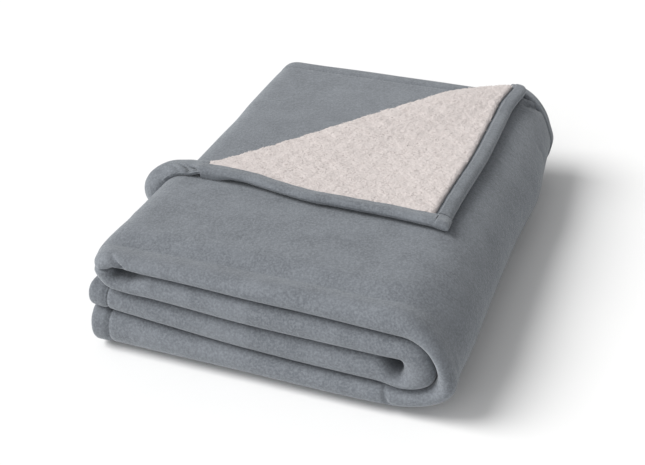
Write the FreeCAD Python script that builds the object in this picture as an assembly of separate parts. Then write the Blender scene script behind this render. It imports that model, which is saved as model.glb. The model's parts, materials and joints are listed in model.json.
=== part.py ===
import FreeCAD, Part
import math
import os

from FreeCAD import Vector

os.makedirs("parts", exist_ok=True)

# Folded sherpa throw, millimetres. +X is the width, +Y runs to the back, +Z is up.
# The origin is the middle of the face that the throw rests on.

# Folded stack
width = 320.0            # over the folds, left to right
depth = 450.0            # front folds to back folds
layer_pitch = 24.0       # height that each of the four folded layers takes
layer_gap = 0.4          # air between one layer and the next
skin = 2.6               # fleece face
half_depth = depth / 2
layer_thickness = layer_pitch - layer_gap
stack_height = 4 * layer_pitch - layer_gap

# Hems: the fleece is turned over the edge of the lining and stitched down
hem_width = 17.0
hem_thickness = 9.0
thread_width = 1.2
thread_depth = 0.6
seam_inset = 2.0         # stitch line to the inner edge of its hem
long_hem_reach = 28.0    # from the back folds to the inner edge of the hem

# Top ply, the one whose corner is turned
ply_thickness = 7.0
ply_gap = 0.2
ply_wrap_end = -35.0     # degrees below level where the ply ends on the right side
ply_front = -half_depth + layer_thickness / 2
ply_top = stack_height + ply_thickness

# Turned corner
corner_x = 124.0         # the sewn corner, as it lies on the stack
corner_y = -88.0
fold_x = -113.0          # a point on the diagonal fold
fold_y = -72.0
fold_angle = 52.2        # degrees from +X
corner_gap = 0.4         # air between the top ply and the corner lying on it
corner_fleece = 2.8
corner_lining = 5.2
corner_left = -124.0     # the fold's left end, where the cloth goes over the side
corner_back = 215.0      # the fold's right end
axis_height = ply_top + 1.5
fold_clearance = 1.0

# The left end of the long hem hangs over the side of the stack
drape_back = -42.0
drape_bottom = 68.0
drape_start = 122.0      # degrees around the left turn where it leaves the top
drape_thickness = 11.0
drape_gap = 0.4

# Centres of the turns at the two sides
turn_low_z = 2 * layer_pitch - layer_gap / 2
turn_high_z = 3 * layer_pitch - layer_gap / 2
right_turn_radius = stack_height - turn_low_z
left_turn_radius = stack_height - turn_high_z
right_turn_x = width / 2 - right_turn_radius - ply_thickness
left_turn_x = -width / 2 + left_turn_radius + ply_thickness
open_end_x = -width / 2

UP = 1
DOWN = -1
Y_AXIS = Vector(0, 1, 0)


def racetrack(long_side, thickness):
    """Flat face across one layer: a slab in Y and Z with round ends."""
    radius = thickness / 2
    straight = long_side / 2 - radius
    front_low = Vector(0, -straight, -radius)
    back_low = Vector(0, straight, -radius)
    back_high = Vector(0, straight, radius)
    front_high = Vector(0, -straight, radius)
    edges = [
        Part.LineSegment(front_low, back_low).toShape(),
        Part.Arc(back_low, Vector(0, straight + radius, 0), back_high).toShape(),
        Part.LineSegment(back_high, front_high).toShape(),
        Part.Arc(front_high, Vector(0, -straight - radius, 0), front_low).toShape(),
    ]
    return Part.Face(Part.Wire(edges))


def rectangle(y_low, y_high, z_low, z_high):
    """Flat face in Y and Z."""
    corners = [
        Vector(0, y_low, z_low),
        Vector(0, y_high, z_low),
        Vector(0, y_high, z_high),
        Vector(0, y_low, z_high),
    ]
    return Part.Face(Part.makePolygon(corners + corners[:1]))


def flipped(section):
    """The section with its outer side turned down."""
    return section.mirror(Vector(0, 0, 0), Vector(0, 0, 1))


def layer_sections():
    """Cross-sections of what runs along every folded layer."""
    outer = racetrack(depth, layer_thickness)
    inner = racetrack(depth - 2 * skin, layer_thickness - 2 * skin)
    top = layer_thickness / 2
    hem_front = half_depth - long_hem_reach
    band = rectangle(hem_front, half_depth, top - hem_thickness, top)
    seam_y = hem_front + seam_inset
    thread = rectangle(seam_y, seam_y + thread_width, top - thread_depth, top)
    hem = outer.common(band)
    return {
        "fleece": outer.cut(inner).cut(hem),
        "lining": inner.cut(hem),
        "hem": hem.cut(thread),
        "thread": thread,
        "end": outer,
    }


def layer_z(layer):
    """Height of a layer's middle."""
    return layer * layer_pitch + layer_thickness / 2


def straight_run(section, x_start, x_end, layer, side):
    """One layer between its two ends. Layers count up from the bottom, from 0."""
    face = section if side == UP else flipped(section)
    face = face.translated(Vector(x_start, 0, layer_z(layer)))
    return face.extrude(Vector(x_end - x_start, 0, 0))


def side_turn(section, centre_x, lower, upper, side, around_right):
    """Half a turn from a lower layer up to the layer that it folds into."""
    face = section if side == UP else flipped(section)
    face = face.translated(Vector(centre_x, 0, layer_z(lower)))
    axis = -Y_AXIS if around_right else Y_AXIS
    middle = (layer_z(lower) + layer_z(upper)) / 2
    return face.revolve(Vector(centre_x, 0, middle), axis, 180)


def along_the_folds(section):
    """Sweep a section through all four layers, from one free end to the other."""
    free_x = open_end_x + hem_width
    runs = [
        straight_run(section, free_x, right_turn_x, 0, DOWN),
        straight_run(section, free_x, right_turn_x, 1, UP),
        straight_run(section, left_turn_x, right_turn_x, 2, DOWN),
        straight_run(section, left_turn_x, right_turn_x, 3, UP),
        side_turn(section, right_turn_x, 1, 2, UP, True),
        side_turn(section, right_turn_x, 0, 3, DOWN, True),
        side_turn(section, left_turn_x, 2, 3, DOWN, False),
    ]
    return runs[0].fuse(runs[1:]).removeSplitter()


def seam_groove(layer):
    """Stitching across a free end, on the front fold and the side that faces out."""
    x_seam = open_end_x + hem_width - seam_inset - thread_width
    outer = racetrack(depth, layer_thickness)
    inner = racetrack(depth - 2 * thread_depth, layer_thickness - 2 * thread_depth)
    return straight_run(outer.cut(inner), x_seam, x_seam + thread_width, layer, UP)


def end_hem(layer):
    """Hem across the free end of a layer."""
    block = straight_run(layer_sections()["end"], open_end_x, open_end_x + hem_width, layer, UP)
    return block.cut(seam_groove(layer))


def polar(centre_x, centre_z, radius, degrees):
    """Point on a circle in the X and Z plane."""
    turn = math.radians(degrees)
    return Vector(centre_x + radius * math.cos(turn), 0, centre_z + radius * math.sin(turn))


def arc(centre_x, centre_z, radius, start, end):
    """Arc in the X and Z plane, in degrees from +X."""
    middle = (start + end) / 2
    points = [polar(centre_x, centre_z, radius, angle) for angle in (start, middle, end)]
    return Part.Arc(*points).toShape()


def wrap_outline(offset, left_end, right_end):
    """Line around the outside of the stack, from its left side over the top to its right."""
    left = arc(left_turn_x, turn_high_z, left_turn_radius + offset, left_end, 90)
    right = arc(right_turn_x, turn_low_z, right_turn_radius + offset, 90, right_end)
    over = Part.LineSegment(
        Vector(left_turn_x, 0, stack_height + offset),
        Vector(right_turn_x, 0, stack_height + offset),
    ).toShape()
    return [left, over, right]


def wrap_band(low, high, left_end, right_end):
    """Band around the outside of the stack, between two offsets from it."""
    left_cap = Part.LineSegment(
        polar(left_turn_x, turn_high_z, left_turn_radius + low, left_end),
        polar(left_turn_x, turn_high_z, left_turn_radius + high, left_end),
    ).toShape()
    right_cap = Part.LineSegment(
        polar(right_turn_x, turn_low_z, right_turn_radius + low, right_end),
        polar(right_turn_x, turn_low_z, right_turn_radius + high, right_end),
    ).toShape()
    edges = wrap_outline(low, left_end, right_end) + wrap_outline(high, left_end, right_end)
    edges = Part.__sortEdges__(edges + [left_cap, right_cap])
    face = Part.Face(Part.Wire(edges))
    face.translate(Vector(0, ply_front, 0))
    return face.extrude(Vector(0, half_depth - ply_front, 0))


def fold_direction():
    turn = math.radians(fold_angle)
    return Vector(math.cos(turn), math.sin(turn), 0)


def in_front_of_fold(clearance):
    """Large block that holds everything on the viewer's side of the diagonal fold."""
    along = fold_direction()
    across = Vector(along.y, -along.x, 0)
    start = Vector(fold_x, fold_y, 0) + across * clearance - along * depth
    reach = 2 * depth
    corners = [
        start,
        start + along * reach,
        start + along * reach + across * reach,
        start + across * reach,
    ]
    face = Part.Face(Part.makePolygon(corners + corners[:1]))
    return face.extrude(Vector(0, 0, reach))


def side_wedge(angle_from, angle_to):
    """Wedge around the left turn that cuts a strip out of what goes down that side."""
    reach = 3 * layer_pitch
    start = Vector(0, -half_depth, 0)
    centre = Vector(left_turn_x, 0, turn_high_z) + start
    first = polar(left_turn_x, turn_high_z, reach, angle_from) + start
    last = polar(left_turn_x, turn_high_z, reach, angle_to) + start
    face = Part.Face(Part.makePolygon([centre, first, last, centre]))
    return face.extrude(Vector(0, depth, 0))


def top_ply():
    """The top ply: fleece, lining, the hem at its left end and the hem at its back."""
    region = in_front_of_fold(0)
    whole = wrap_band(ply_gap, ply_thickness, 180, ply_wrap_end).common(region)
    fleece = wrap_band(ply_thickness - skin, ply_thickness, 180, ply_wrap_end).common(region)
    hem_arc = math.degrees(hem_width / (left_turn_radius + ply_thickness))
    end_band = whole.common(side_wedge(180, 180 - hem_arc))
    back_block = Part.makeBox(width, hem_width, ply_top, Vector(-width / 2, half_depth - hem_width, 0))
    back_band = whole.common(back_block)
    fleece = fleece.cut(end_band).cut(back_band)
    lining = whole.cut(fleece).cut(end_band).cut(back_band)
    return {
        "top_ply_fleece": fleece,
        "top_ply_lining": lining,
        "top_ply_end_hem": end_band,
        "top_ply_back_hem": back_band,
    }


def corner_block(z_low, z_high):
    """Slab of the turned corner's outline between two heights."""
    block = Part.makeBox(
        corner_x - corner_left,
        corner_back - corner_y,
        z_high - z_low,
        Vector(corner_left, corner_y, z_low),
    )
    return block.common(in_front_of_fold(fold_clearance))


def turned_corner():
    """The corner lying on the top ply, lining side up, with a hem along each free edge."""
    base = ply_top + corner_gap
    middle = base + corner_fleece
    top = middle + corner_lining
    hem_top = base + hem_thickness
    inner_x = corner_x - hem_width
    inner_y = corner_y + hem_width
    hem_slab = corner_block(base, hem_top)
    tuck_box = Part.makeBox(hem_width, hem_width, hem_top, Vector(inner_x, corner_y, 0))
    long_box = Part.makeBox(width, hem_width, hem_top, Vector(inner_x - width, corner_y, 0))
    short_box = Part.makeBox(hem_width, depth, hem_top, Vector(inner_x, inner_y, 0))
    field_box = Part.makeBox(width, depth, hem_top, Vector(inner_x - width, inner_y, 0))

    thread_z = hem_top - thread_depth
    long_seam = Part.makeBox(
        width,
        thread_width,
        thread_depth,
        Vector(inner_x - width, inner_y - seam_inset - thread_width, thread_z),
    ).common(hem_slab)
    short_seam = Part.makeBox(
        thread_width,
        depth,
        thread_depth,
        Vector(inner_x + seam_inset, inner_y, thread_z),
    ).common(hem_slab)
    return {
        "corner_fleece": corner_block(base, middle).common(field_box),
        "corner_lining": corner_block(middle, top).common(field_box),
        "corner_long_hem": hem_slab.common(long_box).cut(long_seam),
        "corner_short_hem": hem_slab.common(short_box).cut(short_seam),
        "corner_tuck": hem_slab.common(tuck_box),
        "corner_long_stitching": long_seam,
        "corner_short_stitching": short_seam,
    }


def draped_edge():
    """The end of the long hem, where it goes over the left side of the stack."""
    inner = left_turn_radius + ply_thickness + drape_gap
    outer = inner + drape_thickness
    edges = [
        arc(left_turn_x, turn_high_z, inner, drape_start, 180),
        arc(left_turn_x, turn_high_z, outer, drape_start, 180),
    ]
    corners = [
        polar(left_turn_x, turn_high_z, inner, 180),
        Vector(left_turn_x - inner, 0, drape_bottom),
        Vector(left_turn_x - outer, 0, drape_bottom),
        polar(left_turn_x, turn_high_z, outer, 180),
    ]
    edges += [Part.LineSegment(a, b).toShape() for a, b in zip(corners[:-1], corners[1:])]
    top_ends = [polar(left_turn_x, turn_high_z, radius, drape_start) for radius in (inner, outer)]
    edges.append(Part.LineSegment(*top_ends).toShape())
    face = Part.Face(Part.Wire(Part.__sortEdges__(edges)))
    face.translate(Vector(0, corner_y, 0))
    return face.extrude(Vector(0, drape_back - corner_y, 0))


def folded_stack():
    """The four folded layers and their hems."""
    sections = layer_sections()
    return {
        "face_fleece": along_the_folds(sections["fleece"]),
        "sherpa_lining": along_the_folds(sections["lining"]),
        "long_hem": along_the_folds(sections["hem"]),
        "long_hem_stitching": along_the_folds(sections["thread"]),
        "lower_end_hem": end_hem(0),
        "lower_end_stitching": seam_groove(0),
        "upper_end_hem": end_hem(1),
        "upper_end_stitching": seam_groove(1),
        "draped_edge": draped_edge(),
    }


pieces = {}
pieces.update(folded_stack())
pieces.update(top_ply())
pieces.update(turned_corner())

for name, shape in pieces.items():
    box = shape.BoundBox
    print(
        f"{name:24s} solids {len(shape.Solids)} valid {shape.isValid()} "
        f"volume {shape.Volume / 1000:9.2f} cm3  "
        f"x {box.XMin:.1f} {box.XMax:.1f}  y {box.YMin:.1f} {box.YMax:.1f}  z {box.ZMin:.1f} {box.ZMax:.1f}"
    )
    shape.exportStep(f"parts/{name}.step")
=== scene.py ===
# %% [markdown]
# # A folded sherpa throw
# The throw is one sheet of brushed fleece sewn to one sheet of sherpa, with the fleece turned over
# all four edges as a hem. It is folded in four from front to back and in four from side to side,
# and the corner on top is turned over to show the lining.
# The cloth is built here the way it is folded: a line through the plies, carried along a spiral.

# %% Load the measured frame
import json
import math

import bmesh
import bpy
import numpy as np
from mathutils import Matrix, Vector, kdtree


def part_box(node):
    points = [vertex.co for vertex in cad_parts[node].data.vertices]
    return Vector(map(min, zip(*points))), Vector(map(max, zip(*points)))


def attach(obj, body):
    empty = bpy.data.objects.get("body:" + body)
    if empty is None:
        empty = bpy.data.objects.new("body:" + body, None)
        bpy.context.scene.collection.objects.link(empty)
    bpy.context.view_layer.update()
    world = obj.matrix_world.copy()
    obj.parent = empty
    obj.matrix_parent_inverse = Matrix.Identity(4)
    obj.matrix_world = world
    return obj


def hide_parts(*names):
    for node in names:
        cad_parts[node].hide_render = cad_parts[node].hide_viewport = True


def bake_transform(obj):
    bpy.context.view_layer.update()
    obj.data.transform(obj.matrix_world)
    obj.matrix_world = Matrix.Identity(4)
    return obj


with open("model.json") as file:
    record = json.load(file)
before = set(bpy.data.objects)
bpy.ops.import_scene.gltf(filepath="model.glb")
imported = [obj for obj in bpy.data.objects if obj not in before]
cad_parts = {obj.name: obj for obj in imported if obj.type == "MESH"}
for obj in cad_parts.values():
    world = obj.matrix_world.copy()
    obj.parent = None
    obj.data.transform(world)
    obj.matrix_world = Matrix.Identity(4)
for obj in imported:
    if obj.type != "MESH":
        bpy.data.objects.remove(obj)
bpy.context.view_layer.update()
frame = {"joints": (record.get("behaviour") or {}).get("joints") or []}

MM = 0.001

# %% [markdown]
# ## Sizes read from the frame
# The frame already knows how big everything is, so the sizes below come from its nodes and its
# joint. Working in millimetres keeps the numbers readable, and one factor turns them into metres
# when a mesh is made.

# %% Sizes of the stack, the top ply and the fold
def box_of(node):
    """Low and high corner of a node, in millimetres."""
    return [np.array(corner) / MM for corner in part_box(node)]


stack_low, stack_high = box_of("face_fleece")
ply_high = box_of("top_ply_fleece")[1]
tuck_low, tuck_high = box_of("corner_tuck")
end_low = box_of("lower_end_hem")[0]
fold_joint = frame["joints"][0]
fold_point = np.array(fold_joint["pos_m"]) / MM
fold_axis = -np.array(fold_joint["axis"])

FRONT = stack_low[1]
BACK = stack_high[1]
STACK_TOP = stack_high[2]
PLY = ply_high[2] - STACK_TOP
OPEN_END = end_low[0]
HEM = tuck_high[0] - tuck_low[0]
CORNER_X = tuck_high[0]
CORNER_Y = tuck_low[1]
LAYER = STACK_TOP / 4
GAP = 0.5           # air between two layers
print("stack top", STACK_TOP, "ply", PLY, "hem", HEM, "fold at", fold_point)

# %% [markdown]
# ## Small tools for cloth
# Every piece of cloth below is a grid of points with a second grid under it, closed around the rim.
# That gives a real thickness, which a flat plane with a Solidify modifier would also give, but here
# the two sides can be shaped apart: a hem swells while the seam beside it stays thin.

# %% Mesh tools
WELD = 0.00001      # points closer than this become one, in metres
SHARP = 65          # degrees between two faces from which an edge stays sharp


def smooth(value):
    """0 to 1, with a soft start and end."""
    value = np.clip(value, 0, 1)
    return value * value * (3 - 2 * value)


def bell(distance, width):
    """1 at no distance, falling off softly on both sides."""
    return np.exp(-((distance / width) ** 2))


def unit(vectors):
    """Vectors of length 1, in the same directions."""
    return vectors / np.maximum(np.linalg.norm(vectors, axis=-1, keepdims=True), 1e-6)


def arc_length(line):
    """Distance of each point of a line from its start, along it."""
    return np.concatenate([[0], np.cumsum(np.linalg.norm(np.diff(line, axis=0), axis=1))])


def ripple(points, wavelength, seed, count=9):
    """Soft random waves through space, from -1 to 1."""
    rng = np.random.default_rng(seed)
    total = np.zeros(points.shape[:-1])
    for _ in range(count):
        direction = rng.normal(size=3)
        direction /= np.linalg.norm(direction)
        length = wavelength * rng.uniform(0.7, 1.5)
        total += np.sin(points @ direction * (2 * math.pi / length) + rng.uniform(0, 6.28))
    return total / math.sqrt(count) * 0.7


def grid_faces(rows, cols):
    corner = (np.arange(rows - 1)[:, None] * cols + np.arange(cols - 1)[None, :]).ravel()
    return np.stack([corner, corner + cols, corner + cols + 1, corner + 1], 1)


def rim(rows, cols):
    """Indices around the edge of a grid."""
    index = np.arange(rows * cols).reshape(rows, cols)
    return np.concatenate([index[0, :-1], index[:-1, -1], index[-1, :0:-1], index[:0:-1, 0]])


def shell(top, bottom):
    """Points and faces of a closed skin between two grids."""
    rows, cols = top.shape[:2]
    count = rows * cols
    faces = grid_faces(rows, cols)
    edge = rim(rows, cols)
    following = np.roll(edge, -1)
    sides = np.stack([edge, following, following + count, edge + count], 1)
    points = np.concatenate([top.reshape(-1, 3), bottom.reshape(-1, 3)])
    return points, np.concatenate([faces, faces[:, ::-1] + count, sides])


def joined(parts):
    """Several point and face sets as one."""
    points, faces, first = [], [], 0
    for part_points, part_faces in parts:
        points.append(part_points)
        faces.append(part_faces + first)
        first += len(part_points)
    return np.concatenate(points), np.concatenate(faces)


def add_piece(name, parts, material):
    """A mesh object from point and face sets given in millimetres."""
    points, faces = joined(parts)
    mesh = bpy.data.meshes.new(name)
    mesh.from_pydata((points * MM).tolist(), [], faces.tolist())
    shaped = bmesh.new()
    shaped.from_mesh(mesh)
    bmesh.ops.remove_doubles(shaped, verts=shaped.verts, dist=WELD)
    bmesh.ops.recalc_face_normals(shaped, faces=shaped.faces)
    shaped.to_mesh(mesh)
    shaped.free()
    mesh.shade_smooth()
    mesh.set_sharp_from_angle(angle=math.radians(SHARP))
    mesh.materials.append(material)
    piece = bpy.data.objects.new(name, mesh)
    bpy.context.scene.collection.objects.link(piece)
    print(f"{name}: {len(mesh.polygons)} faces")
    return piece


# %% [markdown]
# ## Finishes
# Brushed fleece is a knitted cloth whose face is combed into a short, dense nap. It has no gloss,
# but its fibre tips catch light at grazing angles, which the sheen of the shader gives, and the tips
# also carry a painted highlight. The nap lies this way and that, so the colour drifts in soft patches,
# with painted shade where its clumps are low.
# Sherpa is the opposite: long curled tufts, cream on top, with painted shade where one tuft meets the next.
# The nap and its drift are one node group, because the fleece, the hems and the thread all use it.

# %% Node group for the cloth
def new_group(name, inputs, outputs):
    group = bpy.data.node_groups.new(name, "ShaderNodeTree")
    for socket, kind, value in inputs:
        made = group.interface.new_socket(socket, in_out="INPUT", socket_type=kind)
        made.default_value = value
    for socket, kind in outputs:
        group.interface.new_socket(socket, in_out="OUTPUT", socket_type=kind)
    return group, group.nodes.new("NodeGroupInput"), group.nodes.new("NodeGroupOutput")


def feed(tree, socket, value):
    """Give a socket a value, or a link from another node."""
    if isinstance(value, (int, float, tuple)):
        socket.default_value = value
    else:
        tree.links.new(value, socket)


def add_node(tree, kind, inputs, output, **settings):
    """A node with its settings and inputs given. Returns the output asked for."""
    node = tree.nodes.new("ShaderNode" + kind)
    for name, value in settings.items():
        setattr(node, name, value)
    for socket, value in inputs.items():
        feed(tree, node.inputs[socket], value)
    return node.outputs[output]


def noise_node(tree, place, scale, detail, roughness=0.5):
    inputs = {"Vector": place, "Scale": scale, "Detail": detail, "Roughness": roughness}
    return add_node(tree, "TexNoise", inputs, "Fac")


def ramp_node(tree, source, low, high, low_value=0.0, high_value=1.0):
    inputs = {"Value": source, "From Min": low, "From Max": high,
              "To Min": low_value, "To Max": high_value}
    return add_node(tree, "MapRange", inputs, "Result", interpolation_type="SMOOTHSTEP")


def math_node(tree, operation, first, second):
    return add_node(tree, "Math", {0: first, 1: second}, "Value", operation=operation)


def mix_colour(tree, amount, first, second):
    inputs = {"Factor": amount, "A": first, "B": second}
    return add_node(tree, "Mix", inputs, "Result", data_type="RGBA")


def make_nap_group():
    """Short brushed pile: a mask of fibre tips, a drift of shade and a height."""
    group, inside, outside = new_group(
        "brushed_nap",
        [("Vector", "NodeSocketVector", (0, 0, 0)), ("Fibre Scale", "NodeSocketFloat", 900.0),
         ("Patch Scale", "NodeSocketFloat", 40.0)],
        [("Shade", "NodeSocketFloat"), ("Tips", "NodeSocketFloat"), ("Height", "NodeSocketFloat")],
    )
    place = inside.outputs["Vector"]
    fibres = noise_node(group, place, inside.outputs["Fibre Scale"], 4.0, 0.7)
    clumps = noise_node(group, place, 190.0, 3.0, 0.6)
    patches = noise_node(group, place, inside.outputs["Patch Scale"], 3.0, 0.55)
    shade = math_node(group, "MULTIPLY", ramp_node(group, patches, 0.3, 0.7), 0.6)
    shade = math_node(group, "ADD", shade, math_node(group, "MULTIPLY", clumps, 0.4))
    feed(group, outside.inputs["Shade"], shade)
    feed(group, outside.inputs["Tips"], ramp_node(group, fibres, 0.35, 0.7))
    height = math_node(group, "ADD", fibres, math_node(group, "MULTIPLY", clumps, 1.4))
    feed(group, outside.inputs["Height"], height)
    return group


nap_group = make_nap_group()
print("node group", nap_group.name)

# %% [markdown]
# ### Fleece, hem and thread
# Three materials share the nap: the brushed face, the hems, which are the same cloth seen at a fold,
# and the thread, which is darker and has finer fibres. A microscopic height from the nap bends the
# light, which a plain colour can't do.

# %% Fleece, hem and thread materials
def new_material(name):
    material = bpy.data.materials.new(name)
    material.use_nodes = True
    tree = material.node_tree
    shader = tree.nodes["Principled BSDF"]
    place = tree.nodes.new("ShaderNodeTexCoord").outputs["Object"]
    return material, tree, shader, place


def bump_into(tree, shader, height, strength, distance):
    inputs = {"Strength": strength, "Distance": distance, "Height": height}
    feed(tree, shader.inputs["Normal"], add_node(tree, "Bump", inputs, "Normal"))


def matt_surface(shader, roughness, specular, sheen, sheen_roughness, tint):
    """No gloss, but fibre tips that catch light at grazing angles."""
    shader.inputs["Roughness"].default_value = roughness
    shader.inputs["Specular IOR Level"].default_value = specular
    shader.inputs["Sheen Weight"].default_value = sheen
    shader.inputs["Sheen Roughness"].default_value = sheen_roughness
    shader.inputs["Sheen Tint"].default_value = tint


def make_fleece(name, dark, light, tip, fibre_scale, bump):
    material, tree, shader, place = new_material(name)
    nap = tree.nodes.new("ShaderNodeGroup")
    nap.node_tree = nap_group
    for socket, value in (("Vector", place), ("Fibre Scale", fibre_scale), ("Patch Scale", 38.0)):
        feed(tree, nap.inputs[socket], value)
    # The dark colour is partly painted shade where the nap's clumps are low and partly random drift; the tip
    # colour is a painted highlight on the fibre tips.
    base = mix_colour(tree, nap.outputs["Shade"], dark, light)
    tips = math_node(tree, "MULTIPLY", nap.outputs["Tips"], 0.55)
    feed(tree, shader.inputs["Base Color"], mix_colour(tree, tips, base, tip))
    matt_surface(shader, 0.95, 0.15, 0.45, 0.45, (0.92, 0.96, 1.0, 1.0))
    bump_into(tree, shader, nap.outputs["Height"], bump, 0.0006)
    return material


# Name, colour in the clefts of the nap (partly painted shade, partly random drift), on it, and on its tips
# (a painted highlight), scale of the fibres and height.
CLOTHS = (
    ("brushed_fleece", (0.11, 0.12, 0.135, 1), (0.165, 0.179, 0.199, 1), (0.27, 0.29, 0.315, 1), 520.0, 0.8),
    ("hem_fleece", (0.11, 0.12, 0.134, 1), (0.165, 0.179, 0.198, 1), (0.26, 0.28, 0.305, 1), 560.0, 0.8),
    ("sewing_thread", (0.08, 0.088, 0.1, 1), (0.11, 0.12, 0.135, 1), (0.16, 0.175, 0.195, 1), 2400.0, 0.3),
)
fleece, hem_fleece, thread = [make_fleece(*cloth) for cloth in CLOTHS]
print("materials", fleece.name, hem_fleece.name, thread.name)

# %% [markdown]
# ### Sherpa
# Warped cells stand for the tufts: pale on their crowns, with painted shade in the clefts between them,
# a fine noise for single fibres and a slow one for warmer patches. Cells alone look like gravel, so a
# second noise pushes them about first.

# %% Sherpa material
# The colour in the clefts between the tufts is painted shade; the crown colour is the pile's own cream.
CLEFT_SHADE = (0.555, 0.505, 0.49, 1)
CROWN = (0.62, 0.566, 0.55, 1)
WARM = (0.575, 0.525, 0.51, 1)


def make_sherpa():
    """Curly pile, cream on the tufts and warmer in patches."""
    material, tree, shader, place = new_material("sherpa_pile")
    wobble = add_node(tree, "TexNoise", {"Vector": place, "Scale": 160.0}, "Color")
    scaled = add_node(tree, "VectorMath", {0: wobble, "Scale": 0.006}, "Vector", operation="SCALE")
    warped = add_node(tree, "VectorMath", {0: place, 1: scaled}, "Vector", operation="ADD")
    cells = {"Vector": warped, "Scale": 340.0, "Smoothness": 0.5}
    tufts = add_node(tree, "TexVoronoi", cells, "Distance", feature="SMOOTH_F1")
    crown = ramp_node(tree, tufts, 0.15, 0.75, 1.0, 0.0)
    strands = noise_node(tree, place, 1400.0, 3.0, 0.7)
    drift = noise_node(tree, place, 30.0, 2.0)
    mask = math_node(tree, "MULTIPLY", crown, 0.7)
    mask = math_node(tree, "ADD", mask, math_node(tree, "MULTIPLY", strands, 0.35))
    # Painted shade: between the tufts the pile turns to the darker cleft colour.
    pile = mix_colour(tree, mask, CLEFT_SHADE, CROWN)
    warm = ramp_node(tree, drift, 0.35, 0.7, 0.0, 0.35)
    feed(tree, shader.inputs["Base Color"], mix_colour(tree, warm, pile, WARM))
    matt_surface(shader, 1.0, 0.1, 0.3, 0.6, (1.0, 0.97, 0.95, 1.0))
    height = math_node(tree, "ADD", crown, math_node(tree, "MULTIPLY", strands, 0.6))
    bump_into(tree, shader, height, 0.3, 0.0008)
    return material


sherpa = make_sherpa()
print("material", sherpa.name)

# %% [markdown]
# ## The fold from side to side
# Seen from the front, the folded throw is a spiral of four layers. It starts at the free end of the
# second layer, turns round inside the right end, comes back as the third layer, turns at the left,
# crosses on top, wraps round everything at the right and ends as the bottom layer.
# Two rails describe it: one line for each side of the layer. A point of the cloth is then placed
# between the rails, so a layer can be squashed where it goes round the others, as it really is.

# %% Heights where the layers meet
# Each slit has a height in the middle, a slope to the right and a bow.
SLITS = {
    0: (0.0, 0.0, 0.0),
    1: (28.5, -0.055, 0.00018),
    2: (54.7, -0.04, 0.0002),
    3: (79.5, -0.045, 0.0),
    4: (STACK_TOP, 0.0, 0.0),
}


def seam_height(level, x):
    """Height of the slit under layer 1, 2, 3, or the stack's bottom and top."""
    middle, slope, bow = SLITS[level]
    return middle + slope * x + bow * x * x


RIGHT_TURN = ply_high[0] - PLY - STACK_TOP / 2
INNER_TURN = RIGHT_TURN + 9
LEFT_TURN = stack_low[0] + LAYER


def spaced(start, end, fine, coarse, margin):
    """Stations from start to end, fine near the ends and coarse between."""
    length = abs(end - start)
    way = math.copysign(1, end - start)
    near = np.arange(0, margin, fine)
    middle = np.linspace(margin, length - margin, max(2, int((length - 2 * margin) / coarse)))
    return start + way * np.concatenate([near, middle, (length - near)[::-1]])


def run_shares(length):
    """Shares of a run between turns, closer together near its ends."""
    return spaced(0, length, 1.7, 5.0, 38) / length


SHORT_RUN = run_shares(INNER_TURN - LEFT_TURN)
LONG_RUN = run_shares(INNER_TURN - OPEN_END)


def line_rail(level, x_from, x_to, run, lift=0.0):
    x = x_from + (x_to - x_from) * run
    return np.stack([x, seam_height(level, x) + lift], 1)


def turn_rail(centre_x, low, high, reach, start, end, steps, power=2.0):
    """Rounded turn between two heights. A power above 2 makes it squarer."""
    angle = np.radians(np.linspace(start, end, steps))
    across = np.abs(np.cos(angle)) ** (2 / power)
    up = np.sign(np.sin(angle)) * np.abs(np.sin(angle)) ** (2 / power)
    return np.stack([centre_x + reach * across, (low + high) / 2 + (high - low) / 2 * up], 1)


# %% [markdown]
# ### Rails of the spiral
# The seven stretches of the spiral are laid end to end. Where the cloth turns it can't fill the bend,
# so the inner rail goes round a small hollow: a deep one inside the right end, a shallow one at left.

# %% Rails of the spiral
RIGHT_HOLLOW = 15.0     # height that the top of the second layer drops before its turn
LEFT_HOLLOW = 6.5
INNER_BEND = 25.0       # how far the turns reach past where they begin
LEFT_BEND = 22.0
TURN_STEPS = 40


def hollow_rail(centre_x, top, depth, rise, reach):
    """Rounded end of a hollow, from its floor up."""
    angle = np.radians(np.linspace(-90, 90, TURN_STEPS))
    height = top - depth + rise * (np.sin(angle) + 1) / 2
    return np.stack([centre_x + reach * np.cos(angle), height], 1)[1:]


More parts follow.
